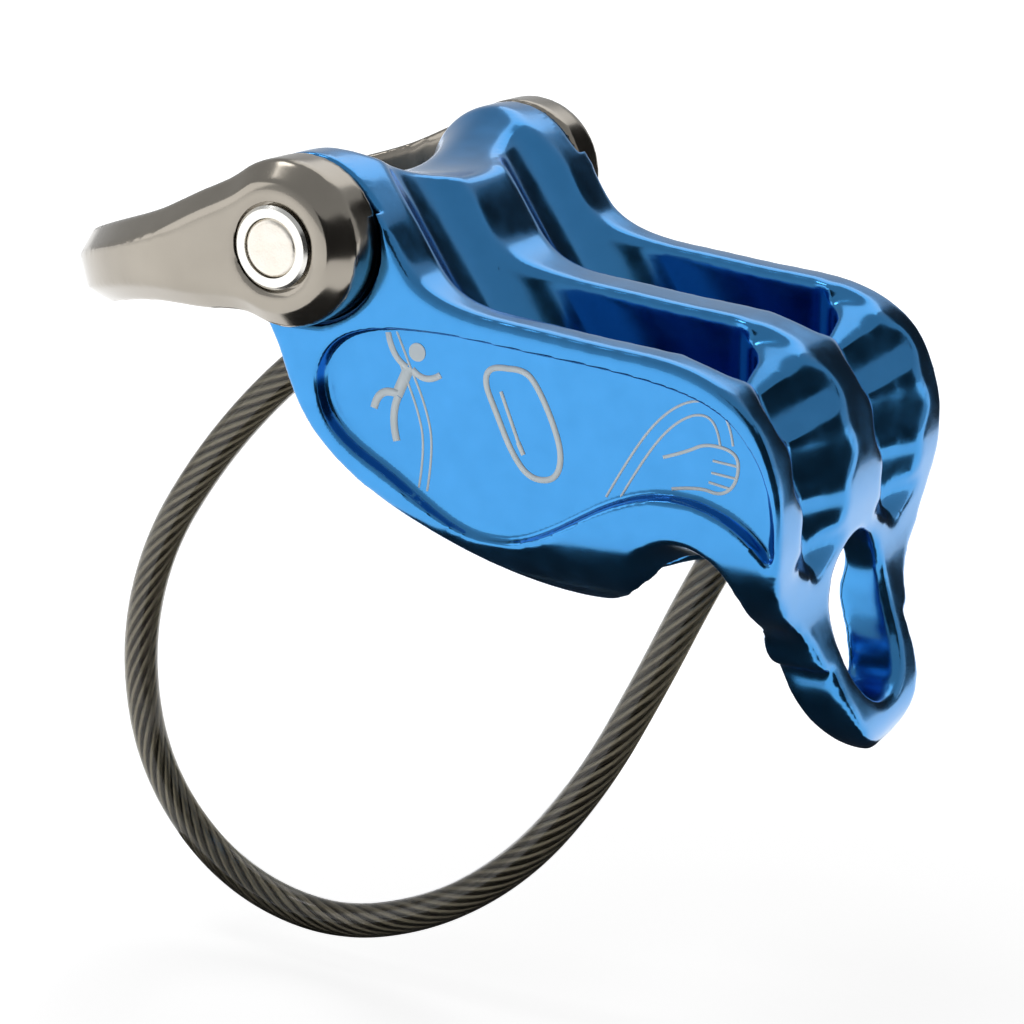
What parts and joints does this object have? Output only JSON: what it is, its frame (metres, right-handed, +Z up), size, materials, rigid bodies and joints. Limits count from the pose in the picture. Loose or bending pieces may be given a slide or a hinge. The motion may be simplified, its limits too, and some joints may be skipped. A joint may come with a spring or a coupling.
{
  "type": "rope descender",
  "caption": "Tube-style belay and descending device: grooved body with twin rope slots and release eye, pivoting anchor shackle, and a jacketed wire keeper loop.",
  "frame": {"origin": "middle of the shackle's pivot axis, on the device's plane of symmetry", "axes": "+X from the pivot towards the nose with the release eye, +Y to the left along the pivot axis, +Z up out of the rope slots"},
  "size_m": [0.0818, 0.048, 0.0818],
  "materials": {
    "blue_anodised": "bright anodised",
    "gunmetal": "polished, dark anodised",
    "steel": "turned",
    "clear_jacket": "clear, tinted",
    "wire": "twisted strands"
  },
  "bodies": {
    "body": {"body": "blue_anodised", "left_pin": "steel", "right_pin": "steel", "left_collar": "steel", "right_collar": "steel", "cable_jacket": "clear_jacket", "cable_wire": "wire", "rear_ferrule": "steel", "front_ferrule": "steel"},
    "shackle": {"shackle": "gunmetal"}
  },
  "joints": [
    {"name": "shackle_pivot", "type": "hinge", "parent": "body", "child": "shackle", "pos_m": [0, 0, 0], "axis": [0, 1, 0], "range_deg": [-24, 184]}
  ]
}
